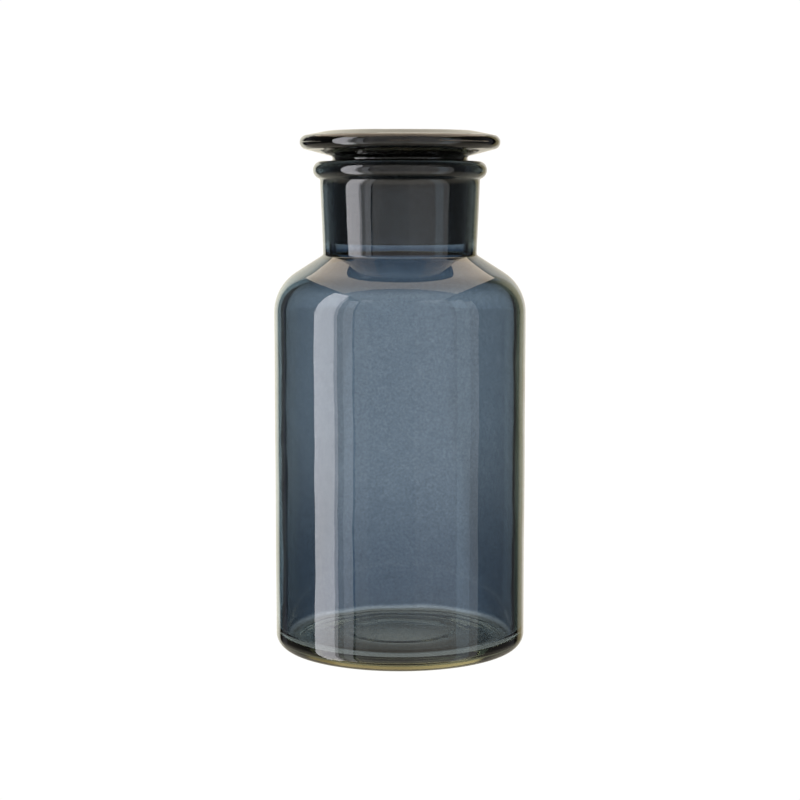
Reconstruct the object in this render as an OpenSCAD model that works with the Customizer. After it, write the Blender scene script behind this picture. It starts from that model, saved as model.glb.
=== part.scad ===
// Wide-mouth apothecary jar in smoke-tinted glass, with a flat-headed ground glass stopper.
// Two pieces of glass: the jar, and the stopper that lifts out of its tapered mouth.
// Origin: centre of the foot, on the surface the jar stands on. +Z is up. Millimetres.

/* [Jar body] */
// Outside diameter of the body
body_d = 110; // [90:0.5:160]
// Height at which the straight wall starts to turn into the shoulder
wall_h = 148.4; // [60:0.2:240]
// Thickness of the wall and of the shoulder
wall_t = 5; // [3:0.1:7]
// Radius of the round where the wall meets the foot
heel_r = 6.2; // [3:0.1:12]
// Outside radius of the round between wall and shoulder
shoulder_r = 20.6; // [12:0.1:28]
// Slope of the shoulder above that round, from horizontal, in degrees
shoulder_slope = 32.5; // [15:0.5:50]

/* [Base] */
// Thickness of the base next to the wall
base_t = 6; // [4:0.1:12]
// Radius of the round between the inner floor and the wall
floor_r = 4; // [1:0.1:8]
// Rise of the inner floor towards its middle
floor_rise = 3; // [0.5:0.1:8]
// Width of the flat ring that the jar stands on
foot_w = 4; // [2:0.1:8]
// Rise of the hollow under the base, from the foot to the middle
push_up = 3.4; // [0.5:0.1:8]
// Diameter of the ring mark under the base
mark_d = 53; // [30:0.5:70]
// Width of the ring mark
mark_w = 1.2; // [0.6:0.1:3]
// Depth of the ring mark
mark_depth = 0.5; // [0.2:0.1:1]

/* [Neck and mouth] */
// Height of the neck, from the shoulder to the top of the rim
neck_h = 40.6; // [30:0.1:60]
// Diameter of the ground bore at the top of the rim
mouth_d = 60; // [45:0.5:76]
// Length over which the bore narrows by one: ten is the usual ground joint
taper = 10; // [8:0.5:14]
// Thickness of the neck wall at the shoulder
neck_wall_low = 5.5; // [3:0.1:7]
// Thickness of the neck wall under the bead
neck_wall_top = 5; // [3:0.1:7]
// Radius of the round bead at the rim
bead_r = 3.9; // [2:0.1:5]
// How far the middle of the bead stands out from the bore at the rim
bead_out = 3.9; // [3:0.1:6]

/* [Stopper] */
// Diameter of the disc
disc_d = 87; // [70:0.5:110]
// Diameter of the flat on top of the disc
disc_flat_d = 62; // [30:0.5:64]
// Radius of the round edge of the disc
disc_edge_r = 3.1; // [2:0.1:5]
// Slope of the disc's top outside the flat, in degrees
disc_top_slope = 11.4; // [5:0.2:20]
// Slope of the disc's underside, in degrees
disc_under_slope = 14.6; // [5:0.2:20]
// Gap between the rim and the disc's underside, measured at the waist
waist_gap = 1.7; // [1:0.1:6]
// Diameter of the waist between the disc and the plug
waist_d = 56.4; // [40:0.2:74]
// Depth of the plug below the rim
plug_h = 35.5; // [20:0.2:50]
// Thickness of the plug's wall
plug_wall = 5; // [3:0.1:8]
// Glass left between the plug's hollow and the rim's level
crown_t = 4; // [2:0.1:10]
// Radius of the round at the top of the plug's hollow
hollow_r = 8; // [2:0.1:12]
// Clearance between the plug and the bore, measured square to the axis
joint_gap = 0.15; // [0.05:0.05:0.5]

/* [Hidden] */
$fn = 128;

// Overlap between pieces of one outline, so that no edge is shared
lap = 1;
// Colours of the glass
jar_colour = [0.36, 0.45, 0.54];
stopper_colour = [0.23, 0.24, 0.25];

// Body
body_r = body_d / 2;
inner_r = body_r - wall_t;
shoulder_x = body_r - shoulder_r;
foot_r = body_r - heel_r;
hollow_foot_r = foot_r - foot_w;

// Neck: its outside meets the shoulder's slope at neck_z
low_bore_r = mouth_d / 2 - neck_h / taper / 2;
neck_low_r = low_bore_r + neck_wall_low;
turn_x = shoulder_x + shoulder_r * sin(shoulder_slope);
turn_z = wall_h + shoulder_r * cos(shoulder_slope);
neck_z = turn_z + (turn_x - neck_low_r) * tan(shoulder_slope);
rim_z = neck_z + neck_h;
bead_x = mouth_d / 2 + bead_out;
bead_z = rim_z - bead_r;
neck_top_r = bore_r(bead_z) + neck_wall_top;

// Inside of the shoulder, one wall thickness in from the outside
inner_shoulder_r = shoulder_r - wall_t;
inner_turn_x = shoulder_x + inner_shoulder_r * sin(shoulder_slope);
inner_turn_z = wall_h + inner_shoulder_r * cos(shoulder_slope);
inner_neck_z = inner_turn_z + (inner_turn_x - low_bore_r) * tan(shoulder_slope);

// Stopper
disc_edge_x = disc_d / 2 - disc_edge_r;
waist_z = rim_z + waist_gap;
under_x = disc_edge_x + disc_edge_r * sin(disc_under_slope);
under_drop = disc_edge_r * cos(disc_under_slope);
disc_edge_z = waist_z + under_drop + (under_x - waist_d / 2) * tan(disc_under_slope);
top_x = disc_edge_x + disc_edge_r * sin(disc_top_slope);
top_z = disc_edge_z + disc_edge_r * cos(disc_top_slope);
disc_top_z = top_z + (top_x - disc_flat_d / 2) * tan(disc_top_slope);
plug_z = rim_z - plug_h;
hollow_z = rim_z - crown_t;

// Radius of the tapered bore at height z
function bore_r(z) = mouth_d / 2 - (rim_z - z) / taper / 2;

// Radius of the plug at height z
function plug_r(z) = bore_r(z) - joint_gap;

// Radius of the sphere whose cap is half_w across its half width and rises by rise
function cap_r(half_w, rise) = (half_w * half_w + rise * rise) / (2 * rise);

// Height above its edge that such a cap reaches at distance x from the middle
function cap_height(x, half_w, rise) =
    sqrt(pow(cap_r(half_w, rise), 2) - x * x) - cap_r(half_w, rise) + rise;

// Half outline of a shallow cap that rises from base_z in the middle of the jar
module cap_outline(half_w, base_z, rise) {
    r = cap_r(half_w, rise);
    intersection() {
        translate([0, base_z]) square([half_w + lap, rise + lap]);
        translate([0, base_z + rise - r]) circle(r, $fn = 512);
    }
}

// Half outline of the body with a round lower edge, from z = low to the shoulder's start
module wall_outline(r, low, edge_r) {
    translate([0, low + edge_r]) square([r, wall_h - low - edge_r]);
    translate([0, low]) square([r - edge_r, edge_r + lap]);
    translate([r - edge_r, low + edge_r]) circle(edge_r);
}

// Half outline of everything that the outside of the jar encloses
module jar_outside() {
    wall_outline(body_r, 0, heel_r);
    translate([shoulder_x, wall_h]) circle(shoulder_r);
    polygon([
        [0, wall_h - lap],
        [shoulder_x, wall_h - lap],
        [turn_x, turn_z],
        [neck_low_r, neck_z],
        [neck_top_r, bead_z],
        [0, bead_z]
    ]);
    translate([bead_x, bead_z]) circle(bead_r);
    translate([0, bead_z - lap]) square([bead_x, bead_r + lap]);
}

// Half outline of the space inside the jar, up through the mouth
module jar_inside() {
    difference() {
        wall_outline(inner_r, base_t, floor_r);
        cap_outline(inner_r - floor_r, base_t, floor_rise);
    }
    translate([shoulder_x, wall_h]) circle(inner_shoulder_r);
    polygon([
        [0, wall_h - lap],
        [shoulder_x, wall_h - lap],
        [inner_turn_x, inner_turn_z],
        [low_bore_r, inner_neck_z],
        [bore_r(rim_z + lap), rim_z + lap],
        [0, rim_z + lap]
    ]);
}

// Half outline of the hollow under the base, with the ring mark cut into it
module base_hollow() {
    mark_x = mark_d / 2 - mark_w / 2;
    cap_outline(hollow_foot_r, 0, push_up);
    translate([mark_x, 0])
    square([mark_w, cap_height(mark_x, hollow_foot_r, push_up) + mark_depth]);
}

// Jar: one piece of blown glass, with a pushed-up base and a ring mark under it
module jar() {
    color(jar_colour)
    rotate_extrude()
    difference() {
        jar_outside();
        jar_inside();
        base_hollow();
    }
}

// Half outline of the disc, from its flat top down to the waist
module disc_outline() {
    translate([disc_edge_x, disc_edge_z]) circle(disc_edge_r);
    polygon([
        [0, waist_z],
        [waist_d / 2, waist_z],
        [under_x, disc_edge_z - under_drop],
        [disc_edge_x, disc_edge_z],
        [top_x, top_z],
        [disc_flat_d / 2, disc_top_z],
        [0, disc_top_z]
    ]);
}

// Half outline of the hollow in the plug, open at the bottom
module plug_hollow() {
    low_r = plug_r(plug_z) - plug_wall;
    translate([0, plug_z - lap]) square([low_r, hollow_z - hollow_r - plug_z + lap]);
    translate([low_r - hollow_r, hollow_z - hollow_r]) circle(hollow_r);
    translate([0, hollow_z - hollow_r - lap]) square([low_r - hollow_r, hollow_r + lap]);
}

// Stopper: one piece of pressed glass, a disc to hold it by and a ground plug
module stopper() {
    color(stopper_colour)
    rotate_extrude()
    difference() {
        union() {
            disc_outline();
            polygon([
                [0, plug_z],
                [plug_r(plug_z), plug_z],
                [plug_r(rim_z), rim_z],
                [waist_d / 2, waist_z],
                [0, waist_z + lap]
            ]);
        }
        plug_hollow();
    }
}

jar();
stopper();
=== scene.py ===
"""Looks of a wide-mouth apothecary jar in smoke-tinted glass, with its lift-off ground stopper.

Blender works in metres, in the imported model's frame: +Z up, the origin at the centre of the foot.
The glass itself is drawn in millimetres, as a glassworks drawing would be, and MM turns it to metres.
"""

import logging
import math
from collections.abc import Callable, Sequence
from dataclasses import dataclass, field
from enum import Enum

import bmesh
import bpy
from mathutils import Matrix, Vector


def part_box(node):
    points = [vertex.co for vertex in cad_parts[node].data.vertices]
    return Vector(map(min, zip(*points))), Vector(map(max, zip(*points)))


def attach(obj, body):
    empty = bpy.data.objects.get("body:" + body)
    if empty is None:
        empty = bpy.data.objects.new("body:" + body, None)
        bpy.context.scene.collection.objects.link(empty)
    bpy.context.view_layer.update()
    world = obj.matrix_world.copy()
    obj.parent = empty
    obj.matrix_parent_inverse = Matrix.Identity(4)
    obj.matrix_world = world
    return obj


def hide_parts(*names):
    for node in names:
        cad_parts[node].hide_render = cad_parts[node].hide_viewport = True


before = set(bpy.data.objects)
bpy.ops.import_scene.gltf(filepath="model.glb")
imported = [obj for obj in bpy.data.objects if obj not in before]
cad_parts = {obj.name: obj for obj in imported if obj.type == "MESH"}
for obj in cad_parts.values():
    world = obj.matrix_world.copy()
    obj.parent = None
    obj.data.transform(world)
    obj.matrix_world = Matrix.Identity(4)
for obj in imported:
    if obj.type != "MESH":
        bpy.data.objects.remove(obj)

MM = 0.001
MM_PER_M = 1000.0
FULL_TURN = 360.0
CLOSE = 0.01  # Heights in mm that differ by less count as the same.
ONE_BOUNCE = 0.5  # Bounces come in whole numbers, so this tells one or more from none.
MIX_FACTOR, MIX_A, MIX_B, MIX_RESULT = 0, 6, 7, 2  # Sockets of a Mix node that mixes colours.
GROUND = "ground"
# Coats of spray on the outside, painted shade in the crease at the neck's foot included.
SPRAY_AND_SHADE = "spray_and_shade"
# Clear glass inside clear glass needs many bounces before light finds its way out again.
TRACING = {
    "max_bounces": 40,
    "transmission_bounces": 36,
    "glossy_bounces": 16,
    "diffuse_bounces": 2,
    "transparent_max_bounces": 16,
    "volume_bounces": 0,
}

log = logging.getLogger("apothecary_jar")
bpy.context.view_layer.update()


class Body(Enum):
    """The two bodies that come apart: what stands on the table, and what lifts out of it."""

    JAR = "jar"
    STOPPER = "stopper"


class Slot(Enum):
    """The record's material slots."""

    JAR_GLASS = "smoke_blue_glass"
    STOPPER_GLASS = "smoke_grey_glass"


# ---------------------------------------------------------------------------------------------
# Small helpers
# ---------------------------------------------------------------------------------------------


def srgb(hex_code: str) -> tuple[float, float, float, float]:
    """Turns an sRGB hex colour into the linear colour that shaders use.

    Args:
        hex_code: Six hex digits after a hash sign, such as "#5A6B7C".

    Returns:
        Linear red, green and blue, and an alpha of one.
    """
    channels = [int(hex_code[i : i + 2], 16) / 255 for i in (1, 3, 5)]
    linear = [c / 12.92 if c <= 0.04045 else ((c + 0.055) / 1.055) ** 2.4 for c in channels]
    return (*linear, 1.0)


def per_metre(size_mm: float) -> float:
    """Gives the texture scale, per metre, at which a pattern repeats every size_mm millimetres."""
    return MM_PER_M / size_mm


def add_node(
    tree: bpy.types.NodeTree,
    kind: str,
    settings: dict[str, object] | None = None,
    values: dict[str | int, object] | None = None,
    links: dict[str | int, bpy.types.NodeSocket] | None = None,
) -> bpy.types.Node:
    """Adds one node to a node tree, with its settings, its constants and what feeds it.

    Args:
        tree: The tree to add to.
        kind: The node's type, such as "ShaderNodeTexNoise".
        settings: The node's own properties, by name.
        values: Constants for its input sockets, by name or number.
        links: Output sockets that feed its input sockets, by name or number.

    Returns:
        The new node.
    """
    node = tree.nodes.new(kind)
    for name, value in (settings or {}).items():
        setattr(node, name, value)
    for socket, value in (values or {}).items():
        node.inputs[socket].default_value = value
    for socket, source in (links or {}).items():
        tree.links.new(source, node.inputs[socket])
    return node


def set_stops(ramp: bpy.types.Node, stops: Sequence[tuple[float, Sequence[float]]]) -> None:
    """Lays out the stops of a colour ramp.

    Args:
        ramp: The ramp's node.
        stops: The place from 0 to 1 and the linear colour of each stop, in order.
    """
    elements = ramp.color_ramp.elements
    while len(elements) < len(stops):
        elements.new(1.0)
    for element, (place, colour) in zip(elements, stops):
        element.position = place
        element.color = colour


def smooth_step(low: float, high: float, value: float) -> float:
    """Rises smoothly from 0 at low to 1 at high."""
    t = min(max((value - low) / (high - low), 0.0), 1.0)
    return t * t * (3 - 2 * t)


def bell(apart: float, width: float) -> float:
    """Gives 1 where apart is 0, and falls off smoothly on both sides, to 1/e at width."""
    return math.exp(-((apart / width) ** 2))


# ---------------------------------------------------------------------------------------------
# Outlines: half sections that are turned about the jar's axis
# ---------------------------------------------------------------------------------------------


@dataclass(frozen=True)
class Corner:
    """A corner of an outline, in mm.

    Attributes:
        x: Distance from the axis.
        z: Height above the table.
        radius: Radius that the corner is rounded to, or 0 for a sharp one.
    """

    x: float
    z: float
    radius: float = 0.0


@dataclass
class Outline:
    """Points of a half section in mm, with how finely its round and straight stretches are cut.

    Attributes:
        arc_step: Angle between points on a round stretch, in degrees.
        line_step: Longest distance between points on a straight stretch, in mm.
        points: The points so far, as distance from the axis and height.
    """

    arc_step: float = 6.0
    line_step: float = 3.0
    points: list[Vector] = field(default_factory=list)

    def add_line_to(self, end: Vector) -> None:
        """Runs a straight stretch from the last point, cut into short lengths.

        Args:
            end: The stretch's end, or the outline's first point.
        """
        if self.points:
            start = self.points[-1]
            cuts = max(1, math.ceil((end - start).length / self.line_step))
            self.points += [start.lerp(end, i / cuts) for i in range(1, cuts)]
        self.points.append(end)

    def add_arc(self, centre: Vector, start: Vector, end: Vector) -> None:
        """Runs to start and on to end along the shorter arc about centre.

        Args:
            centre: Centre of the arc.
            start: First point of the arc.
            end: Last point of the arc.
        """
        self.add_line_to(start)
        first, last = start - centre, end - centre
        sweep = math.atan2(first.x * last.y - first.y * last.x, first.dot(last))
        steps = max(2, math.ceil(abs(math.degrees(sweep)) / self.arc_step))
        for i in range(1, steps + 1):
            turn = sweep * i / steps
            cos, sin = math.cos(turn), math.sin(turn)
            self.points.append(
                centre + Vector((first.x * cos - first.y * sin, first.x * sin + first.y * cos))
            )

    def add_corners(self, corners: Sequence[Corner]) -> None:
        """Joins corners with straight stretches and rounds each to its own radius.

        Args:
            corners: The corners in order. The first and the last stay sharp.
        """
        self.add_line_to(Vector((corners[0].x, corners[0].z)))
        for before, corner, after in zip(corners, corners[1:], corners[2:]):
            here = Vector((corner.x, corner.z))
            back = (Vector((before.x, before.z)) - here).normalized()
            on = (Vector((after.x, after.z)) - here).normalized()
            if corner.radius <= 0:
                self.add_line_to(here)
                continue
            half = back.angle(on) / 2
            reach = corner.radius / math.tan(half)
            centre = here + (back + on).normalized() * (corner.radius / math.sin(half))
            self.add_arc(centre, here + back * reach, here + on * reach)
        self.add_line_to(Vector((corners[-1].x, corners[-1].z)))

    def add_cap(self, half_width: float, low: float, rise: float, inward: bool) -> None:
        """Runs along a shallow dome between its edge and its middle, on the axis.

        Args:
            half_width: Distance of the dome's edge from the axis.
            low: Height of the dome's edge.
            rise: How far its middle stands above its edge.
            inward: True to run from the edge to the middle, False for the other way.
        """
        radius = (half_width**2 + rise**2) / (2 * rise)
        cuts = math.ceil(half_width / self.line_step)
        stations = [half_width * i / cuts for i in range(cuts + 1)]
        for x in reversed(stations) if inward else stations:
            self.add_line_to(Vector((x, low + rise - radius + math.sqrt(radius**2 - x**2))))


@dataclass(frozen=True)
class Ripple:
    """One of the waves that add up to an unevenness.

    Attributes:
        share: Its share of the whole height.
        times: What the unevenness's own number of waves round the piece is multiplied by.
        more: What is then added to that number.
        climb: How fast it turns up the piece, against the slowest ripple.
        shift: Its shift, in radians.
    """

    share: float
    times: int
    more: int
    climb: float
    shift: float

    def at(self, around: int, angle: float, turn: float) -> float:
        """Gives its height at an angle and a turn of the slowest ripple, as a share of the whole."""
        waves = self.times * around + self.more
        return self.share * math.sin(waves * angle + self.climb * turn + self.shift)


@dataclass(frozen=True)
class Unevenness:
    """Slow waves that hot glass keeps from being blown or pressed.

    Attributes:
        height: Height of the waves, in mm.
        length: Distance between waves up the piece, in mm.
        around: Number of waves round the piece.
        phase: Shift in degrees, so that the inside and the outside don't match.
        ripples: The waves that add up to it.
    """

    height: float
    length: float
    around: int
    phase: float
    ripples: tuple[Ripple, ...] = (
        Ripple(share=0.5, times=1, more=0, climb=1.0, shift=0.0),
        Ripple(share=0.35, times=1, more=2, climb=-0.62, shift=1.3),
        Ripple(share=0.15, times=2, more=3, climb=2.3, shift=0.4),
    )

    def at(self, angle: float, z: float) -> float:
        """Gives how far the surface stands out, in mm, at an angle in radians and a height in mm."""
        turn = math.tau * z / self.length + math.radians(self.phase)
        return self.height * sum(ripple.at(self.around, angle, turn) for ripple in self.ripples)


def turn_outline(
    name: str,
    points: Sequence[Vector],
    angles: Sequence[float],
    offset: Callable[[int, float], float],
    surface: dict[str, Callable[[int], float]],
) -> bpy.types.Object:
    """Turns a half section about the axis into a closed, smooth mesh.

    Args:
        name: Name of the new object.
        points: The half section in mm. Its first and last points lie on the axis.
        angles: Angles of the mesh's meridians, in radians, in order.
        offset: Gives how far the surface stands out, in mm, from a point's number and an angle.
        surface: For each named attribute, gives its value from a point's number.

    Returns:
        The new object, linked to the scene.
    """
    mesh_data = bpy.data.meshes.new(name)
    obj = bpy.data.objects.new(name, mesh_data)
    bpy.context.scene.collection.objects.link(obj)
    mesh = bmesh.new()
    layers = {mesh.verts.layers.float.new(key): value for key, value in surface.items()}
    rings: list[list[bmesh.types.BMVert]] = []
    for number, point in enumerate(points):
        before = points[max(number - 1, 0)]
        after = points[min(number + 1, len(points) - 1)]
        along = (after - before).normalized()
        out = Vector((along.y, -along.x))
        on_axis = number in (0, len(points) - 1)
        ring = []
        for angle in angles[:1] if on_axis else angles:
            rise = 0.0 if on_axis else offset(number, angle)
            x, z = point.x + out.x * rise, point.y + out.y * rise
            x = 0.0 if on_axis else x
            vert = mesh.verts.new((x * math.cos(angle) * MM, x * math.sin(angle) * MM, z * MM))
            for layer, value in layers.items():
                vert[layer] = value(number)
            ring.append(vert)
        rings.append(ring)
    count = len(angles)
    for low, high in zip(rings, rings[1:]):
        for i in range(count):
            j = (i + 1) % count
            if len(low) == 1:
                mesh.faces.new((low[0], high[i], high[j]))
            elif len(high) == 1:
                mesh.faces.new((low[i], high[0], low[j]))
            else:
                mesh.faces.new((low[i], high[i], high[j], low[j]))
    bmesh.ops.recalc_face_normals(mesh, faces=mesh.faces)
    for face in mesh.faces:
        face.smooth = True
    mesh.to_mesh(mesh_data)
    mesh.free()
    return obj


# ---------------------------------------------------------------------------------------------
# Finishes
# ---------------------------------------------------------------------------------------------


@dataclass(frozen=True)
class Pattern:
    """A cloudy pattern in a finish.

    Attributes:
        size: Size of its coarsest features, in mm.
        octaves: How many finer layers it has.
        fineness: How strongly those layers show.
    """

    size: float
    octaves: float
    fineness: float


@dataclass(frozen=True)
class Glass:
    """Soda-lime glass, fire-polished, ground where it seals, and sprayed with clear colour outside.

    The fire polish gives clean, hard reflections. The ground band scatters light and looks grey and
    silky. The melt has a cast of its own, which shows where the eye looks a long way through it. The
    sprayed colour lies on the outside only, so a bare heel stays pale.

    Attributes:
        name: Name of the material.
        melt: Colour that white light has after passing melt_depth millimetres of the bare glass.
        melt_depth: That depth, in mm.
        spray: Colour of light that passes the spray on the way in and again on the way out.
        ior: Index of refraction.
        polish: Roughness of the fire-polished surface.
        ground_fine: Roughness of the ground band where it is finest.
        ground_coarse: Roughness of the ground band where it is coarsest.
        grit: Scratches of the grit that the band was ground with, drawn three times too coarse.
        peel: Faint dimples in the polished surface.
        peel_depth: Depth of those dimples, in mm.
        cloud: Clouds in the sprayed colour.
        uneven: How much thicker or thinner than usual the colour is in a cloud, as a share.
        droplet: Dried droplets of spray, drawn twice too coarse.
        droplet_low: Value of the droplets' pattern where the colour is thinnest.
        droplet_high: Value of the droplets' pattern where the colour is thickest.
        speckle: How much thicker or thinner the colour is at a droplet, as a share.
        steps: Thicknesses of spray, in coats, at which its colour is worked out.
    """

    name: str
    melt: str
    melt_depth: float
    spray: str = "#FFFFFF"
    ior: float = 1.52
    polish: float = 0.0
    ground_fine: float = 0.16
    ground_coarse: float = 0.32
    grit: Pattern = Pattern(size=0.8, octaves=3.0, fineness=0.7)
    peel: Pattern = Pattern(size=6.0, octaves=1.0, fineness=0.4)
    peel_depth: float = 0.005
    cloud: Pattern = Pattern(size=7.0, octaves=3.0, fineness=0.6)
    uneven: float = 0.10
    droplet: Pattern = Pattern(size=1.0, octaves=1.0, fineness=0.5)
    droplet_low: float = 0.3
    droplet_high: float = 0.7
    speckle: float = 0.10
    steps: tuple[float, ...] = (0.0, 0.2, 0.4, 0.7, 1.0, 1.3, 2.0, 4.0)

    def absorption(self) -> tuple[tuple[float, float, float, float], float]:
        """Works out the absorption that gives the melt its colour.

        Returns:
            The absorption colour, and the density per metre.
        """
        taken = [-math.log(channel) / (self.melt_depth * MM) for channel in srgb(self.melt)[:3]]
        density = max(taken)
        return (*[1 - share / density for share in taken], 1.0), density

    def add_patterns(self, tree: bpy.types.NodeTree) -> dict[str, bpy.types.NodeSocket]:
        """Adds the finish's patterns to its material.

        Args:
            tree: The material's tree.

        Returns:
            Each pattern's value, by the pattern's name.
        """
        place = add_node(tree, "ShaderNodeTexCoord").outputs["Object"]
        patterns = {"grit": self.grit, "peel": self.peel, "cloud": self.cloud, "droplet": self.droplet}
        return {
            name: add_node(
                tree,
                "ShaderNodeTexNoise",
                values={
                    "Scale": per_metre(pattern.size),
                    "Detail": pattern.octaves,
                    "Roughness": pattern.fineness,
                },
                links={"Vector": place},
            ).outputs["Fac"]
            for name, pattern in patterns.items()
        }

    def add_spray(
        self, tree: bpy.types.NodeTree, patterns: dict[str, bpy.types.NodeSocket]
    ) -> bpy.types.NodeSocket:
        """Adds the sprayed colour, which clouds and droplets make thicker and thinner.

        Args:
            tree: The material's tree.
            patterns: Each pattern's value, by name.

        Returns:
            The colour.
        """
        most_coats = self.steps[-1]
        clouds = add_node(
            tree,
            "ShaderNodeMapRange",
            values={"To Min": (1 - self.uneven) / most_coats, "To Max": (1 + self.uneven) / most_coats},
            links={"Value": patterns["cloud"]},
        )
        droplets = add_node(
            tree,
            "ShaderNodeMapRange",
            values={
                "From Min": self.droplet_low,
                "From Max": self.droplet_high,
                "To Min": 1 - self.speckle,
                "To Max": 1 + self.speckle,
            },
            links={"Value": patterns["droplet"]},
        )
        unevenness = add_node(
            tree,
            "ShaderNodeMath",
            {"operation": "MULTIPLY"},
            links={0: clouds.outputs["Result"], 1: droplets.outputs["Result"]},
        )
        coats = add_node(tree, "ShaderNodeAttribute", {"attribute_name": SPRAY_AND_SHADE})
        thickness = add_node(
            tree,
            "ShaderNodeMath",
            {"operation": "MULTIPLY"},
            links={0: coats.outputs["Fac"], 1: unevenness.outputs["Value"]},
        )
        colour = add_node(tree, "ShaderNodeValToRGB", links={"Fac": thickness.outputs["Value"]})
        one_coat = srgb(self.spray)
        set_stops(
            colour, [(step / most_coats, [channel**step for channel in one_coat]) for step in self.steps]
        )
        return colour.outputs["Color"]

    def add_grinding(
        self, tree: bpy.types.NodeTree, patterns: dict[str, bpy.types.NodeSocket]
    ) -> bpy.types.NodeSocket:
        """Adds the roughness: polished all over, apart from the ground band.

        Args:
            tree: The material's tree.
            patterns: Each pattern's value, by name.

        Returns:
            The roughness.
        """
        ground = add_node(
            tree,
            "ShaderNodeMapRange",
            values={"To Min": self.ground_fine, "To Max": self.ground_coarse},
            links={"Value": patterns["grit"]},
        )
        band = add_node(tree, "ShaderNodeAttribute", {"attribute_name": GROUND})
        roughness = add_node(
            tree,
            "ShaderNodeMix",
            {"data_type": "FLOAT"},
            values={"A": self.polish},
            links={"Factor": band.outputs["Fac"], "B": ground.outputs["Result"]},
        )
        return roughness.outputs["Result"]

    def material(self) -> bpy.types.Material:
        """Builds the node material.

        Returns:
            The new material.
        """
        material = bpy.data.materials.new(self.name)
        material.use_nodes = True
        tree = material.node_tree
        tree.nodes.clear()
        patterns = self.add_patterns(tree)
        dimples = add_node(
            tree,
            "ShaderNodeBump",
            values={"Strength": 1.0, "Distance": self.peel_depth * MM},
            links={"Height": patterns["peel"]},
        )
        surface = add_node(
            tree,
            "ShaderNodeBsdfPrincipled",
            values={"IOR": self.ior, "Transmission Weight": 1.0},
            links={
                "Base Color": self.add_spray(tree, patterns),
                "Roughness": self.add_grinding(tree, patterns),
                "Normal": dimples.outputs["Normal"],
            },
        )
        cast, density = self.absorption()
        depth = add_node(tree, "ShaderNodeVolumeAbsorption", values={"Color": cast, "Density": density})
        add_node(
            tree,
            "ShaderNodeOutputMaterial",
            links={"Surface": surface.outputs["BSDF"], "Volume": depth.outputs["Volume"]},
        )
        return material


# Blown, fire-polished and sprayed smoke blue: hard highlights over a clear blue-grey that is deepest
# low on the wall, and pale olive glass at the heel, where no spray reaches.
SPRAYED_GLASS = Glass("sprayed_soda_lime_glass", "#BDB698", 60.0, spray="#677B91")

# Pressed, and coloured in the melt: a neutral grey that darkens with depth, silky where it is ground.
GREY_GLASS = Glass("smoke_grey_soda_lime_glass", "#6B6866", 10.0)


# ---------------------------------------------------------------------------------------------
# The two pieces of glass
# ---------------------------------------------------------------------------------------------


@dataclass
class Joint:
    """The ground joint that both pieces share: a cone that narrows one in ten.

    Attributes:
        rim_z: Height of the rim, in mm.
        mouth_r: Radius of the bore at the rim.
        taper: Length over which the bore narrows by one across.
        clearance: Gap between plug and bore, square to the axis.
    """

    rim_z: float
    mouth_r: float = 30.0
    taper: float = 10.0
    clearance: float = 0.15

    def bore(self, z: float) -> float:
        """Gives the radius of the bore at height z."""
        return self.mouth_r - (self.rim_z - z) / self.taper / 2

    def plug(self, z: float) -> float:
        """Gives the radius of the plug at height z."""
        return self.bore(z) - self.clearance


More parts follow.
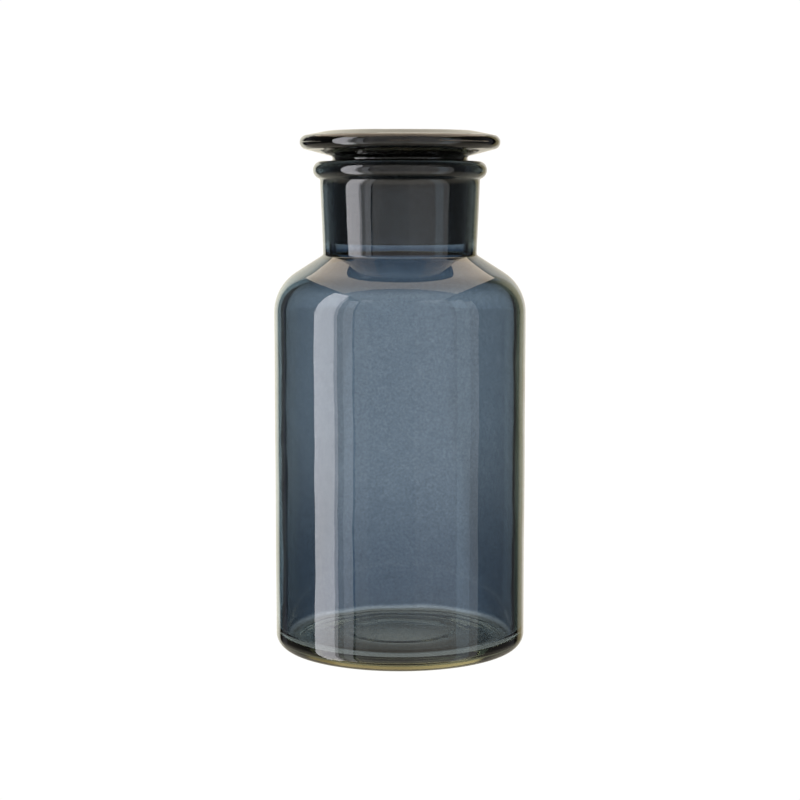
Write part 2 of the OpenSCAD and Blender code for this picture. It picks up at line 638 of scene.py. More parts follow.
@dataclass
class Jar:
    """The blown jar: pushed-up base, wall, sloping shoulder, neck and beaded rim, in mm.

    Attributes:
        joint: The ground joint that its mouth is half of.
        body_r: Radius of the body.
        ground_from: Height from which the mouth is ground.
        glass: What it is made of.
        wall: Thickness of the wall.
        wall_h: Height at which the straight wall ends.
        heel_r: Radius that the heel is rounded to.
        shoulder_r: Radius that the shoulder is rounded to.
        shoulder_slope: Slope of the shoulder, in degrees.
        base: Thickness of the base at its edge.
        floor_r: Radius that the inside of the heel is rounded to.
        floor_rise: How far the middle of the floor stands above its edge.
        foot_w: Width of the ring that it stands on.
        step: Length of each of the two short steps between a dome and the ring round it.
        foot_lift: How far the push-up's outer step clears the table.
        dome_lift: How far the push-up's edge clears the table.
        push_up: Height of the push-up.
        mark_r: Radius of the ring mark under the base.
        mark_w: Half the width of that mark.
        mark_depth: Depth of that mark.
        neck_wall_low: Thickness of the neck where it meets the shoulder.
        neck_wall_top: Thickness of the neck where it meets the bead.
        neck_h: Length of the neck, bead and all.
        neck_fillet: Radius that the neck meets the shoulder with.
        bead_r: Radius of the bead's section.
        bead_root: How far outside the neck's wall the bead's round starts.
        bead_gap: Straight stretch of neck left out just under the bead.
        lip_r: Radius that the edges of the bore are rounded to.
        spray_from: Height at which the spray starts.
        spray_fade: Height over which it comes to its full thickness.
        spray_shoulder: Extra coats on the shoulder's slope.
        slope_fade: How far under the neck those extra coats are complete.
        neck_fade: How far on either side of the neck's foot they fade out.
        low_extra_coats: Extra coats low on the wall, so that it is darker towards the bottom.
        spray_low: Height up to which those extra coats are complete.
        spray_even: Height above which there are none.
        painted_crease_shade: Extra coats in the corner at the neck's foot, which paint shade into that
            crease.
        crease_shade_rise: How far above that corner the painted shade's middle lies.
        crease_shade_half: Half the painted shade's height.
        seam_drop: How far under the rim the raised ring round the neck lies.
        seam_h: Height of that ring.
        seam_w: Half the width of that ring.
        matt_low: How far above its lower end the grinding is complete.
        matt_top: How far under the rim it is complete.
        calm_r: Distance from the axis at which the unevenness is complete.
        calm_low: Height under which there is none.
        calm_high: Height above which it is complete.
        waves: Unevenness of the outside and of the inside.
        meridians: Number of meridians in the mesh.
    """

    joint: Joint
    body_r: float
    ground_from: float
    glass: Glass
    wall: float = 5.0
    wall_h: float = 148.4
    heel_r: float = 6.2
    shoulder_r: float = 20.6
    shoulder_slope: float = 32.5
    base: float = 6.0
    floor_r: float = 4.0
    floor_rise: float = 3.0
    foot_w: float = 4.0
    step: float = 0.5
    foot_lift: float = 0.1
    dome_lift: float = 0.15
    push_up: float = 3.4
    mark_r: float = 26.5
    mark_w: float = 1.2
    mark_depth: float = 0.5
    neck_wall_low: float = 5.5
    neck_wall_top: float = 5.0
    neck_h: float = 40.6
    neck_fillet: float = 1.6
    bead_r: float = 3.9
    bead_root: float = 0.5
    bead_gap: float = 0.2
    lip_r: float = 0.7
    spray_from: float = 2.5
    spray_fade: float = 4.0
    spray_shoulder: float = 0.75
    slope_fade: float = 3.0
    neck_fade: float = 1.0
    low_extra_coats: float = 0.42
    spray_low: float = 15.0
    spray_even: float = 85.0
    painted_crease_shade: float = 2.0
    crease_shade_rise: float = 0.6
    crease_shade_half: float = 0.45
    seam_drop: float = 12.4
    seam_h: float = 0.16
    seam_w: float = 0.45
    matt_low: float = 1.5
    matt_top: float = 1.0
    calm_r: float = 40.0
    calm_low: float = 0.5
    calm_high: float = 12.0
    waves: tuple[Unevenness, Unevenness] = (
        Unevenness(0.06, 61.0, 5, 20.0), Unevenness(0.06, 47.0, 4, 200.0)
    )
    meridians: int = 256

    @property
    def neck_z(self) -> float:
        """The height of the neck's foot."""
        return self.joint.rim_z - self.neck_h

    @property
    def bead_z(self) -> float:
        """The height of the bead's middle."""
        return self.joint.rim_z - self.bead_r

    @property
    def neck_top_r(self) -> float:
        """The radius of the neck where it meets the bead."""
        return self.joint.bore(self.bead_z) + self.neck_wall_top

    def slope_z(self, x: float, depth: float) -> float:
        """Gives the height of the shoulder's slope, drawn on past both its ends.

        Args:
            x: Distance from the axis.
            depth: How far inside the glass's outer surface the slope lies.

        Returns:
            The height.
        """
        slope = math.radians(self.shoulder_slope)
        arc_r = self.shoulder_r - depth
        turn_x = self.body_r - self.shoulder_r + arc_r * math.sin(slope)
        turn_z = self.wall_h + arc_r * math.cos(slope)
        return turn_z - (x - turn_x) * math.tan(slope)

    def add_outside(self, outline: Outline) -> None:
        """Draws from the middle of the base, round the heel and up the neck.

        Args:
            outline: The outline to draw on.
        """
        foot_in = self.body_r - self.heel_r - self.foot_w
        neck_low_r = self.joint.bore(self.neck_z) + self.neck_wall_low
        outline.add_cap(foot_in - 2 * self.step, self.dome_lift, self.push_up, inward=False)
        outline.add_corners(
            [
                Corner(foot_in - self.step, self.foot_lift),
                Corner(foot_in, 0.0, self.step),
                Corner(self.body_r, 0.0, self.heel_r),
                Corner(self.body_r, self.slope_z(self.body_r, 0.0), self.shoulder_r),
                Corner(neck_low_r, self.neck_z, self.neck_fillet),
                Corner(self.neck_top_r, self.bead_z - self.bead_r - self.bead_gap),
            ]
        )

    def add_bead(self, outline: Outline) -> None:
        """Draws the bead, from where it leaves the neck up to the rim.

        Args:
            outline: The outline to draw on.
        """
        bead_x = self.joint.mouth_r + self.bead_r
        under = -math.acos(min(1.0, (self.neck_top_r - bead_x + self.bead_root) / self.bead_r))
        start_x = bead_x + self.bead_r * math.cos(under)
        start_z = self.bead_z + self.bead_r * math.sin(under)
        outline.add_arc(
            Vector((bead_x, self.bead_z)),
            Vector((start_x, start_z)),
            Vector((bead_x, self.joint.rim_z)),
        )

    def add_inside(self, outline: Outline) -> None:
        """Draws from the rim down the ground bore and the inside wall to the middle of the floor.

        Args:
            outline: The outline to draw on.
        """
        joint = self.joint
        inner_r = self.body_r - self.wall
        bore_low_r = joint.bore(self.neck_z - self.wall / 2)
        floor_edge = inner_r - self.floor_r
        outline.add_corners(
            [
                Corner(joint.mouth_r + self.bead_r, joint.rim_z),
                Corner(joint.mouth_r, joint.rim_z, self.lip_r),
                Corner(bore_low_r, self.slope_z(bore_low_r, self.wall), self.lip_r),
                Corner(inner_r, self.slope_z(inner_r, self.wall), self.shoulder_r - self.wall),
                Corner(inner_r, self.base, self.floor_r),
                Corner(floor_edge - self.step, self.base),
            ]
        )
        outline.add_cap(floor_edge - 2 * self.step, self.base, self.floor_rise, inward=True)

    def matt(self, z: float) -> float:
        """Gives how matt the bore is at height z, from 0 where it is polished to 1."""
        matt = smooth_step(self.ground_from, self.ground_from + self.matt_low, z)
        return matt * smooth_step(self.joint.rim_z, self.joint.rim_z - self.matt_top, z)

    def coats(self, z: float) -> float:
        """Works out how thick the spray is on the outside, with extra coats that paint shade into the
        crease at the neck's foot.

        Args:
            z: Height.

        Returns:
            The thickness, in coats.
        """
        started = smooth_step(self.spray_from, self.spray_from + self.spray_fade, z)
        slope = smooth_step(self.wall_h + self.shoulder_r / 2, self.neck_z - self.slope_fade, z)
        slope *= smooth_step(self.neck_z + self.neck_fade, self.neck_z - self.neck_fade, z)
        low_share = smooth_step(self.spray_even, self.spray_low, z)
        # Painted shade: extra coats that darken the crease at the neck's foot.
        painted_shade_coats = self.painted_crease_shade * bell(z - self.neck_z - self.crease_shade_rise, self.crease_shade_half)
        return started * (1 + self.spray_shoulder * slope + self.low_extra_coats * low_share) + painted_shade_coats

    def swell(self, point: Vector, angle: float, outside: bool) -> float:
        """Works out how far the glass stands out from its outline.

        Args:
            point: A point of the outline.
            angle: Angle round the axis, in radians.
            outside: True on the outside of the jar, and False on its inside.

        Returns:
            The distance, in mm.
        """
        waves = self.waves[0 if outside else 1]
        calm = smooth_step(0.0, self.calm_r, point.x)
        calm *= smooth_step(self.calm_low, self.calm_high, point.y)
        rise = waves.at(angle, point.y) * calm
        if not outside:
            return rise
        mark = min(abs(point.x - self.mark_r) / self.mark_w, 1.0)
        rise -= self.mark_depth * math.cos(mark * math.pi / 2) ** 2
        return rise + self.seam_h * bell(point.y - self.joint.rim_z + self.seam_drop, self.seam_w)

    def build(self) -> bpy.types.Object:
        """Builds the jar's mesh.

        Returns:
            The jar, closed inside and out.
        """
        outline = Outline()
        self.add_outside(outline)
        self.add_bead(outline)
        rim_number = len(outline.points)
        self.add_inside(outline)
        points = outline.points

        def is_bore(number: int) -> bool:
            """Tells whether a point lies on the ground bore."""
            return number >= rim_number and points[number].y > self.ground_from

        def matt(number: int) -> float:
            """Gives how matt the glass is at a point."""
            return self.matt(points[number].y) if is_bore(number) else 0.0

        def sprayed(number: int) -> float:
            """Gives the coats of spray at a point, painted crease shade included."""
            return self.coats(points[number].y) if number < rim_number else 0.0

        def offset(number: int, angle: float) -> float:
            """Gives how far the glass stands out at a point and an angle. The bore is ground true."""
            return 0.0 if is_bore(number) else self.swell(points[number], angle, number < rim_number)

        angles = [math.tau * i / self.meridians for i in range(self.meridians)]
        return turn_outline("jar_glass", points, angles, offset, {GROUND: matt, SPRAY_AND_SHADE: sprayed})

    def dress(self, obj: bpy.types.Object) -> None:
        """Gives the jar its glass and ties it to the body that it stands for.

        Args:
            obj: The jar.
        """
        obj.data.materials.append(self.glass.material())
        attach(obj, Body.JAR.value)
        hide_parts("jar")


@dataclass
class Stopper:
    """The pressed stopper: a flat disc to lift it by, a waist, and a hollow ground plug, in mm.

    Attributes:
        joint: The ground joint that its plug is half of.
        disc_r: Radius of the disc.
        top_z: Height of the disc's top.
        plug_z: Height of the plug's lower end.
        glass: What it is made of.
        flat_r: Radius of the disc's flat middle.
        flat_fillet: Radius that the flat middle meets the sloping rim with.
        edge_r: Radius of the disc's rounded edge.
        top_slope: Slope of the rim's top, in degrees.
        under_slope: Slope of the disc's underside, in degrees.
        waist_r: Radius of the waist.
        waist_gap: How far above the jar's rim the waist lies.
        waist_fillet: Radius that the waist is rounded to.
        plug_fillet: Radius that the plug's upper edge is rounded to.
        plug_wall: Thickness of the plug's wall at its lower end.
        toe_r: Radius that the plug's lower edges are rounded to.
        crown: How far under the jar's rim the hollow ends.
        hollow_r: Radius that the hollow's upper end is rounded to.
        line_step: Longest distance between points on a straight stretch.
        seam_h: Height of the two mould seams across the disc.
        seam_w: Half the width of a seam.
        seam_fade: Distance over which a seam rises, outside the flat middle.
        seam_cuts: Number of extra meridians on each side of a seam.
        seam_step: Distance between those meridians at the disc's edge.
        seam_clear: How far from a seam the other meridians stay.
        seams: Angles of the seams, in radians.
        matt_fade: How far under the rim the grinding is complete.
        true_cuts: Number of points above the ground band that are true as well.
        calm_r: Distance from the axis at which the unevenness is complete.
        waves: Unevenness of the disc.
        meridians: Number of even meridians in the mesh.
    """

    joint: Joint
    disc_r: float
    top_z: float
    plug_z: float
    glass: Glass
    flat_r: float = 31.0
    flat_fillet: float = 14.0
    edge_r: float = 3.1
    top_slope: float = 11.4
    under_slope: float = 14.6
    waist_r: float = 28.2
    waist_gap: float = 1.7
    waist_fillet: float = 1.2
    plug_fillet: float = 0.5
    plug_wall: float = 5.0
    toe_r: float = 0.6
    crown: float = 4.0
    hollow_r: float = 8.0
    line_step: float = 2.0
    seam_h: float = 0.14
    seam_w: float = 0.389
    seam_fade: float = 4.0
    seam_cuts: int = 4
    seam_step: float = 0.275
    seam_clear: float = 1.65
    seams: tuple[float, float] = (-math.pi / 2, math.pi / 2)
    matt_fade: float = 2.0
    true_cuts: int = 3
    calm_r: float = 30.0
    waves: Unevenness = Unevenness(0.05, 33.0, 4, 75.0)
    meridians: int = 240

    def outline(self) -> Outline:
        """Draws the half section from the middle of the disc's top to the middle of the hollow.

        Returns:
            The outline.
        """
        joint = self.joint
        top, under = math.radians(self.top_slope), math.radians(self.under_slope)
        edge_x = self.disc_r - self.edge_r
        top_x = edge_x + self.edge_r * math.sin(top)
        edge_z = self.top_z - (top_x - self.flat_r) * math.tan(top) - self.edge_r * math.cos(top)
        under_x = edge_x + self.edge_r * math.sin(under)
        under_z = edge_z - self.edge_r * math.cos(under)
        hollow_x = joint.plug(self.plug_z) - self.plug_wall
        hollow_z = joint.rim_z - self.crown
        outline = Outline(line_step=self.line_step)
        outline.add_corners(
            [
                Corner(0.0, self.top_z),
                Corner(self.flat_r, self.top_z, self.flat_fillet),
                Corner(top_x, edge_z + self.edge_r * math.cos(top)),
            ]
        )
        nose = Vector((edge_x, edge_z))
        outline.add_arc(nose, outline.points[-1], nose + Vector((self.edge_r, 0)))
        outline.add_arc(nose, outline.points[-1], Vector((under_x, under_z)))
        outline.add_corners(
            [
                Corner(under_x, under_z),
                Corner(self.waist_r, joint.rim_z + self.waist_gap, self.waist_fillet),
                Corner(joint.plug(joint.rim_z), joint.rim_z, self.plug_fillet),
                Corner(joint.plug(self.plug_z), self.plug_z, self.toe_r),
                Corner(hollow_x, self.plug_z, self.toe_r),
                Corner(hollow_x, hollow_z, self.hollow_r),
                Corner(0.0, hollow_z),
            ]
        )
        return outline

    def from_seam(self, angle: float, seam: float) -> float:
        """Gives how far round the disc's edge an angle lies from a seam, in mm."""
        return ((angle - seam + math.pi) % math.tau - math.pi) * self.disc_r

    def angles(self) -> list[float]:
        """Works out the mesh's meridians, which crowd together at the seams.

        Returns:
            Their angles, in radians, in order.
        """
        even = [math.tau * i / self.meridians for i in range(self.meridians)]
        kept = [
            angle
            for angle in even
            if all(abs(self.from_seam(angle, seam)) > self.seam_clear for seam in self.seams)
        ]
        near = [
            (seam + cut * self.seam_step / self.disc_r) % math.tau
            for seam in self.seams
            for cut in range(-self.seam_cuts, self.seam_cuts + 1)
        ]
        return sorted(kept + near)

    def swell(self, point: Vector, angle: float) -> float:
        """Works out how far the disc stands out from its outline.

        Args:
            point: A point of the outline.
            angle: Angle round the axis, in radians.

        Returns:
            The distance, in mm.
        """
        rise = self.waves.at(angle, point.y) * smooth_step(0.0, self.calm_r, point.x)
        seam_h = self.seam_h * smooth_step(self.flat_r, self.flat_r + self.seam_fade, point.x)
        return rise + sum(seam_h * bell(self.from_seam(angle, seam), self.seam_w) for seam in self.seams)

    def build(self) -> bpy.types.Object:
        """Builds the stopper's mesh, with the two mould seams across its disc.

        Returns:
            The stopper, closed inside and out.
        """
        points = self.outline().points
        plug_top = self.joint.rim_z - self.plug_fillet
        ground_from = next(i for i, p in enumerate(points) if p.y < plug_top and p.x > self.waist_r)
        ground_to = next(i for i, p in enumerate(points) if p.y <= self.plug_z + CLOSE)

        def matt(number: int) -> float:
            """Gives how matt the glass is at a point."""
            matt = smooth_step(plug_top, self.joint.rim_z - self.matt_fade, points[number].y)
            return matt if ground_from <= number <= ground_to else 0.0

        def offset(number: int, angle: float) -> float:
            """Gives how far the glass stands out at a point and an angle. The plug is true."""
            return self.swell(points[number], angle) if number < ground_from - self.true_cuts else 0.0

        return turn_outline("stopper_glass", points, self.angles(), offset, {GROUND: matt})

    def dress(self, obj: bpy.types.Object) -> None:
        """Gives the stopper its glass and ties it to the body that it stands for.

        Args:
            obj: The stopper.
        """
        obj.data.materials.append(self.glass.material())
        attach(obj, Body.STOPPER.value)
        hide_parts("stopper")


# ---------------------------------------------------------------------------------------------
# The studio
# ---------------------------------------------------------------------------------------------


def add_light(
    name: str, size: tuple[float, float], radiance: float, colour: str, place: Vector
) -> bpy.types.Object:
    """Adds a rectangular soft light, which shines straight down until it is turned.

    Args:
        name: Name of the light.
        size: Its two sides, in metres.
        radiance: How bright it looks. The floor's white is 1.
        colour: Its sRGB colour.
        place: Where its middle is, in metres.

    Returns:
        The light, linked to the scene. It isn't seen through the glass, only mirrored.
    """
    data = bpy.data.lights.new(name, "AREA")
    data.shape = "RECTANGLE"
    data.size, data.size_y = size
    data.energy = radiance * math.pi * size[0] * size[1]
    data.color = srgb(colour)[:3]
    light = bpy.data.objects.new(name, data)
    light.location = place
    light.visible_transmission = False
    bpy.context.scene.collection.objects.link(light)
    return light


def add_mirror_test(tree: bpy.types.NodeTree) -> bpy.types.NodeSocket:
    """Adds a test for light that the glass has mirrored.

    Args:
        tree: The material's or the world's tree.

    Returns:
        A value that is 1 for mirrored light, and 0 for any other.
    """
    path = add_node(tree, "ShaderNodeLightPath")
    test = add_node(
        tree,
        "ShaderNodeMath",
        {"operation": "GREATER_THAN"},
        values={1: ONE_BOUNCE},
        links={0: path.outputs["Glossy Depth"]},
    )
    return test.outputs["Value"]


@dataclass(frozen=True)
class Softbox:
    """A rectangular soft light that stands round the jar and faces it.

    Attributes:
        name: Name of the light.
        left: Bearing of its left edge from the camera, in degrees, positive to the camera's right.
        right: Bearing of its right edge.
        low: Height of its lower edge, in metres, which may be below the table.
        high: Height of its upper edge.
        radiance: How bright it looks. The floor's white is 1.
        colour: Its sRGB colour.
        distance: How far from the jar's axis it stands, in metres.
    """

    name: str
    left: float
    right: float
    low: float
    high: float
    radiance: float
    colour: str
    distance: float = 1.3

    def build(self) -> None:
        """Builds the light and turns it to the jar."""
        bearing = math.radians((self.left + self.right) / 2)
        spread = math.radians((self.right - self.left) / 2)
        size = (2 * self.distance * math.tan(spread), self.high - self.low)
        aside, towards = self.distance * math.sin(bearing), self.distance * math.cos(bearing)
        place = Vector((aside, -towards, (self.low + self.high) / 2))
        light = add_light(self.name, size, self.radiance, self.colour, place)
        light.rotation_mode = "QUATERNION"
        light.rotation_quaternion = Vector((-aside, towards, 0.0)).to_track_quat("-Z", "Y")


@dataclass(frozen=True)
class Overhead:
    """A wide soft light that hangs level above the jar.

    Attributes:
        name: Name of the light.
        near: Its near edge, in metres, measured from the jar towards the camera.
        far: Its far edge, measured from the jar away from the camera.
        radiance: How bright it looks. The floor's white is 1.
        colour: Its sRGB colour.
        height: How high it hangs.
        width: Its size from left to right.
    """

    name: str
    near: float
    far: float
    radiance: float
    colour: str
    height: float = 1.3
    width: float = 2.0

    def build(self) -> None:
        """Builds the light."""
        size = (self.width, self.near + self.far)
        place = Vector((0.0, (self.far - self.near) / 2, self.height))
        add_light(self.name, size, self.radiance, self.colour, place)


@dataclass(frozen=True)
class Tone:
    """How bright the room or the table looks at one place.

    Attributes:
        place: For a wall, its bearing from the backdrop's middle, in degrees, positive to the camera's
            right. For the table, the distance from the jar's axis, as a share of the foot's radius.
        radiance: How bright it looks. The floor's white is 1.
        colour: Its sRGB colour.
    """

    place: float
    radiance: float
    colour: str

    def stop(self, start: float, span: float) -> tuple[float, tuple[float, ...]]:
        """Gives its stop on a ramp whose ends lie at start and at start + span.

        Args:
            start: The place at the ramp's left end.
            span: How much place the ramp covers.

        Returns:
            The place on the ramp, from 0 to 1, and the linear colour of the light.
        """
        light = [channel * self.radiance for channel in srgb(self.colour)[:3]]
        return (self.place - start) / span, (*light, 1.0)


@dataclass
class Studio:
    """A plain pale floor that runs into a white backdrop, soft lights, and the camera.

    Lengths are in metres, and angles in degrees.

    Attributes:
        foot_r: Radius of the jar's foot, under which the table has painted shade.
        top_z: Height of the stopper's top.
        aim: Height of the point on the jar's axis that the camera looks at, as a share of top_z.
        camera_distance: How far the camera stands from the jar's axis.
        camera_height: Height of the camera above the floor.
        lens: Focal length in millimetres on a 36 mm sensor.
        floor_size: Side of the floor.
        white: Colour of the floor, the backdrop and the plain room.
        bright: Strength of that white, just enough to leave no grey in it.
        far_from: Distance from the jar beyond which the table looks the same.
        patches: How the table looks through the glass, from the jar's axis outwards: a painted pool of
            light under the push-up, painted shade under the foot, and painted shade that fades out away
            from the jar.
        beam_half: Half the width of the lit lane over the table, in front of and behind the jar.
        beam_edge: Width over which the lane's light fades at each side.
        beam_spread: How much each half of the lane widens for each metre from the jar.
        beam_near: Distance up to which the table beside the lane is darkest.
        beam_far: Distance from which it is brightest.
        shade_near: How much darker it is there than the lane, where it is darkest.
        shade_far: How much darker it is where it is brightest.
        backdrop_top: Elevation at which the walls start to fade into the ceiling.
        ceiling_from: Elevation at which they have faded into it.
        ceiling: Colour of the ceiling.
        ground_from: Angle under the horizon at which the mirrored walls start to fade out.
        ground_to: Angle under the horizon at which they have faded out.
        ground: Colour that is mirrored from below.
        walls: The room that the glass mirrors, from left to right.
        boxes: The lights that stand round the jar, from left to right.
        overhead: The light above and behind the jar, which the shoulder mirrors.
        canopy: The light above and in front of it, which joins the boxes to the overhead light.
    """

    foot_r: float
    top_z: float
    aim: float = 0.482
    camera_distance: float = 0.8474
    camera_height: float = 0.2068
    lens: float = 87.1
    floor_size: float = 8.0
    white: str = "#FFFFFF"
    bright: float = 1.02
    far_from: float = 0.5
    # A painted pool of light under the push-up, painted shade under the foot, and painted shade that
    # fades out away from the jar.
    patches: tuple[Tone, ...] = (
        Tone(0.0, 0.62, "#FFEFD4"),
        Tone(0.24, 0.46, "#FFEFD4"),
        Tone(0.60, 0.08, "#FFDC9C"),
        Tone(0.80, 0.05, "#FFDC9C"),
        Tone(0.87, 0.32, "#FFF6E0"),
        Tone(1.02, 0.42, "#FFF6E0"),
        Tone(1.15, 0.85, "#FFFFFF"),
        Tone(3.00, 0.95, "#FFFFFF"),
        Tone(10.0, 1.00, "#FFFFFF"),
    )
    beam_half: float = 0.026
    beam_edge: float = 0.028
    beam_spread: float = 0.05
    beam_near: float = 0.25
    beam_far: float = 0.85
    shade_near: float = 0.45
    shade_far: float = 0.18
    backdrop_top: float = 22.0
    ceiling_from: float = 36.0
    ceiling: str = "#59544C"
    ground_from: float = 12.0
    ground_to: float = 27.0
    ground: str = "#BCB6A8"
    walls: tuple[Tone, ...] = (
        Tone(-57.0, 0.05, "#FFFFFF"),
        Tone(-50.8, 0.03, "#FFFFFF"),
        Tone(-49.0, 0.16, "#F4F2FF"),
        Tone(-39.5, 0.12, "#F4F2FF"),
        Tone(-37.0, 0.00, "#FFFFFF"),
        Tone(-32.5, 0.00, "#FFFFFF"),
        Tone(-29.0, 1.15, "#FFFDEC"),
        Tone(-22.0, 1.30, "#FFFDEC"),
        Tone(0.0, 0.85, "#FFF7E4"),
        Tone(22.0, 1.00, "#FFF8E8"),
        Tone(25.0, 0.65, "#FFF0C0"),
        Tone(36.0, 0.50, "#FFF0C0"),
        Tone(41.0, 0.00, "#FFFFFF"),
        Tone(46.0, 0.00, "#FFFFFF"),
        Tone(48.5, 0.14, "#F4F2FF"),
        Tone(58.0, 0.12, "#F4F2FF"),
        Tone(62.0, 0.10, "#FFFFFF"),
    )
    boxes: tuple[Softbox, ...] = (
        Softbox("key", -82.6, -60.5, -1.2, 1.5, 6.0, "#FBFAFF"),
        Softbox("key_edge", -60.5, -57.0, -1.2, 1.3, 3.0, "#FBFAFF"),
        Softbox("key_spill", -57.0, -51.3, -1.2, 1.1, 1.0, "#FFFFFF"),
        Softbox("strip_left", -51.3, -42.3, -1.2, 1.1, 1.75, "#F8FAFF"),
        Softbox("fill_near", -40.2, -28.0, -1.2, 1.3, 0.80, "#FDFBF9"),
        Softbox("fill_middle", -28.0, 13.0, -1.2, 1.3, 0.66, "#FDFBF9"),
        Softbox("fill_right", 13.0, 51.8, -1.2, 1.3, 0.80, "#FDFBF9"),
        Softbox("strip_right", 51.8, 65.0, -1.2, 1.1, 1.35, "#EAF6FF"),
        Softbox("edge_right", 65.0, 74.2, -1.2, 0.9, 0.8, "#FFFFFF"),
    )
    overhead: Overhead = Overhead("overhead", 0.36, 1.8, 2.1, "#FFEBD2")
    canopy: Overhead = Overhead("canopy", 1.3, -0.37, 0.66, "#FDFBF9")

    def add_table_light(self, tree: bpy.types.NodeTree) -> bpy.types.Node:
        """Adds the table's light as the glass shows it, with painted shade under the jar and beside the
        lane and a painted pool of light under the push-up.

        Args:
            tree: The table's tree.

        Returns:
            The emission node.
        """
        place = add_node(tree, "ShaderNodeTexCoord").outputs["Object"]
        away = add_node(tree, "ShaderNodeVectorMath", {"operation": "LENGTH"}, links={0: place})
        reach = add_node(
            tree,
            "ShaderNodeMapRange",
            values={"From Max": self.far_from},
            links={"Value": away.outputs["Value"]},
        )
        levels = add_node(tree, "ShaderNodeValToRGB", links={"Fac": reach.outputs["Result"]})
        reached = self.far_from / self.foot_r
        set_stops(levels, [patch.stop(0.0, reached) for patch in self.patches])
        split = add_node(tree, "ShaderNodeSeparateXYZ", links={0: place})
        aside = add_node(
            tree, "ShaderNodeMath", {"operation": "ABSOLUTE"}, links={0: split.outputs["X"]}
        )
        outside = add_node(
            tree,
            "ShaderNodeMath",
            {"operation": "MULTIPLY_ADD"},
            values={1: -self.beam_spread},
            links={0: away.outputs["Value"], 2: aside.outputs["Value"]},
        )
        beside = add_node(
            tree,
            "ShaderNodeMapRange",
            {"interpolation_type": "SMOOTHSTEP"},
            values={"From Min": self.beam_half, "From Max": self.beam_half + self.beam_edge},
            links={"Value": outside.outputs["Value"]},
        )
        shade = add_node(
            tree,
            "ShaderNodeMapRange",
            values={
                "From Min": self.beam_near,
                "From Max": self.beam_far,
                "To Min": -self.shade_near,
                "To Max": -self.shade_far,
            },
            links={"Value": away.outputs["Value"]},
        )
        lit = add_node(
            tree,
            "ShaderNodeMath",
            {"operation": "MULTIPLY_ADD"},
            values={2: 1.0},
            links={0: beside.outputs["Result"], 1: shade.outputs["Result"]},
        )
        return add_node(
            tree,
            "ShaderNodeEmission",
            links={"Color": levels.outputs["Color"], "Strength": lit.outputs["Value"]},
        )

    def build_floor(self) -> None:
        """Builds the floor: a white light table, which the glass doesn't mirror."""
        mesh_data = bpy.data.meshes.new("floor")
        floor = bpy.data.objects.new("floor", mesh_data)
        mesh = bmesh.new()
        bmesh.ops.create_grid(mesh, x_segments=1, y_segments=1, size=self.floor_size / 2)
        mesh.to_mesh(mesh_data)
        mesh.free()
        bpy.context.scene.collection.objects.link(floor)
        floor.visible_glossy = False
        material = bpy.data.materials.new("light_table")
        material.use_nodes = True
        tree = material.node_tree
        tree.nodes.clear()
        # Through the glass the table shows painted shade and a painted pool of light; the camera sees it
        # plain white.
        through = self.add_table_light(tree)
        seen = add_node(
            tree, "ShaderNodeEmission", values={"Color": srgb(self.white), "Strength": self.bright}
        )
        path = add_node(tree, "ShaderNodeLightPath")
        both = add_node(
            tree,
            "ShaderNodeMixShader",
            links={
                0: path.outputs["Is Camera Ray"],
                1: through.outputs["Emission"],
                2: seen.outputs["Emission"],
            },
        )
        absent = add_node(tree, "ShaderNodeBsdfTransparent")
        table = add_node(
            tree,
            "ShaderNodeMixShader",
            links={0: add_mirror_test(tree), 1: both.outputs["Shader"], 2: absent.outputs["BSDF"]},
        )
        add_node(tree, "ShaderNodeOutputMaterial", links={"Surface": table.outputs["Shader"]})
        mesh_data.materials.append(material)

    def add_rooms(self, tree: bpy.types.NodeTree) -> tuple[bpy.types.NodeSocket, bpy.types.NodeSocket]:
        """Adds the two rooms that the glass shows, in colours that depend on the bearing and height.

        Args:
            tree: The world's tree.

        Returns:
            The colours of the room behind the glass and of the room that it mirrors.
        """
        heading = add_node(tree, "ShaderNodeTexCoord").outputs["Generated"]
        split = add_node(tree, "ShaderNodeSeparateXYZ", links={0: heading})
        bearing = add_node(
            tree,
            "ShaderNodeMath",
            {"operation": "ARCTAN2"},
            links={0: split.outputs["X"], 1: split.outputs["Y"]},
        )
        turn = add_node(
            tree,
            "ShaderNodeMapRange",
            values={"From Min": -math.pi, "From Max": math.pi},
            links={"Value": bearing.outputs["Value"]},
        )
        walls = add_node(tree, "ShaderNodeValToRGB", links={"Fac": turn.outputs["Result"]})
        set_stops(walls, [wall.stop(-FULL_TURN / 2, FULL_TURN) for wall in self.walls])
        up, down = [
            add_node(
                tree,
                "ShaderNodeMapRange",
                {"interpolation_type": "SMOOTHSTEP"},
                values={
                    "From Min": math.sin(math.radians(start)), "From Max": math.sin(math.radians(end))
                },
                links={"Value": split.outputs["Z"]},
            ).outputs["Result"]
            for start, end in (
                (self.backdrop_top, self.ceiling_from), (-self.ground_from, -self.ground_to)
            )
        ]
        colours = {"data_type": "RGBA"}
        behind = add_node(
            tree,
            "ShaderNodeMix",
            colours,
            values={MIX_A: srgb(self.white), MIX_B: srgb(self.ceiling)},
            links={MIX_FACTOR: up},
        )
        walled = add_node(
            tree,
            "ShaderNodeMix",
            colours,
            values={MIX_B: srgb(self.ceiling)},
            links={MIX_FACTOR: up, MIX_A: walls.outputs["Color"]},
        )
        mirrored = add_node(
            tree,
            "ShaderNodeMix",
            colours,
            values={MIX_B: srgb(self.ground)},
            links={MIX_FACTOR: down, MIX_A: walled.outputs[MIX_RESULT]},
        )
        return behind.outputs[MIX_RESULT], mirrored.outputs[MIX_RESULT]

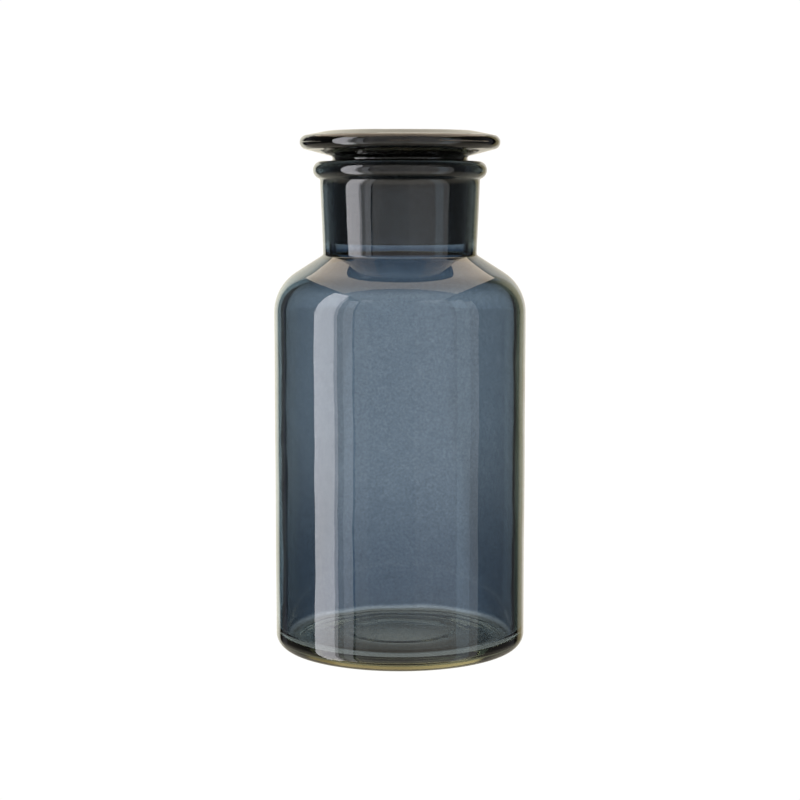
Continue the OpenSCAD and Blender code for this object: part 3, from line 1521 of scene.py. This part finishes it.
    def build_world(self) -> None:
        """Builds the room: a white backdrop, which polished glass mirrors against darker walls."""
        world = bpy.data.worlds.new("studio")
        world.use_nodes = True
        bpy.context.scene.world = world
        tree = world.node_tree
        tree.nodes.clear()
        behind, mirrored = [
            add_node(
                tree, "ShaderNodeBackground", values={"Strength": self.bright}, links={"Color": colour}
            )
            for colour in self.add_rooms(tree)
        ]
        indoors = add_node(
            tree,
            "ShaderNodeMixShader",
            links={
                0: add_mirror_test(tree),
                1: behind.outputs["Background"],
                2: mirrored.outputs["Background"],
            },
        )
        plain = add_node(
            tree, "ShaderNodeBackground", values={"Color": srgb(self.white), "Strength": self.bright}
        )
        path = add_node(tree, "ShaderNodeLightPath")
        both = add_node(
            tree,
            "ShaderNodeMixShader",
            links={
                0: path.outputs["Is Camera Ray"],
                1: indoors.outputs["Shader"],
                2: plain.outputs["Background"],
            },
        )
        add_node(tree, "ShaderNodeOutputWorld", links={"Surface": both.outputs["Shader"]})

    def build_camera(self) -> None:
        """Builds the camera, just below the stopper's height and looking at the jar's middle."""
        data = bpy.data.cameras.new("camera")
        data.lens = self.lens
        camera = bpy.data.objects.new("camera", data)
        camera.location = (0.0, -self.camera_distance, self.camera_height)
        aim = Vector((0.0, 0.0, self.aim * self.top_z)) - camera.location
        camera.rotation_mode = "QUATERNION"
        camera.rotation_quaternion = aim.to_track_quat("-Z", "Y")
        bpy.context.scene.collection.objects.link(camera)
        bpy.context.scene.camera = camera

    def build(self) -> None:
        """Builds the floor, the room, the lights and the camera, and sets how light is traced."""
        self.build_floor()
        self.build_world()
        for light in (*self.boxes, self.overhead, self.canopy):
            light.build()
        self.build_camera()
        scene = bpy.context.scene
        scene.view_settings.view_transform = "Standard"
        for name, limit in TRACING.items():
            setattr(scene.cycles, name, limit)


def main() -> None:
    """Builds the two pieces of glass and the studio, and reports each."""
    logging.basicConfig(level=logging.INFO, format="%(name)s: %(message)s")
    jar_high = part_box("jar")[1] * MM_PER_M
    stopper_low, stopper_high = (corner * MM_PER_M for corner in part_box("stopper"))
    joint = Joint(rim_z=jar_high.z)
    jar = Jar(joint, jar_high.x, stopper_low.z, SPRAYED_GLASS)
    stopper = Stopper(joint, stopper_high.x, stopper_high.z, stopper_low.z, GREY_GLASS)
    for part in (jar, stopper):
        obj = part.build()
        part.dress(obj)
        log.info("%s: %d faces", obj.name, len(obj.data.polygons))
    studio = Studio(foot_r=(jar.body_r - jar.heel_r) * MM, top_z=stopper_high.z * MM)
    studio.build()
    log.info("studio: %d soft boxes and two overhead lights", len(studio.boxes))


if __name__ == "__main__":
    main()
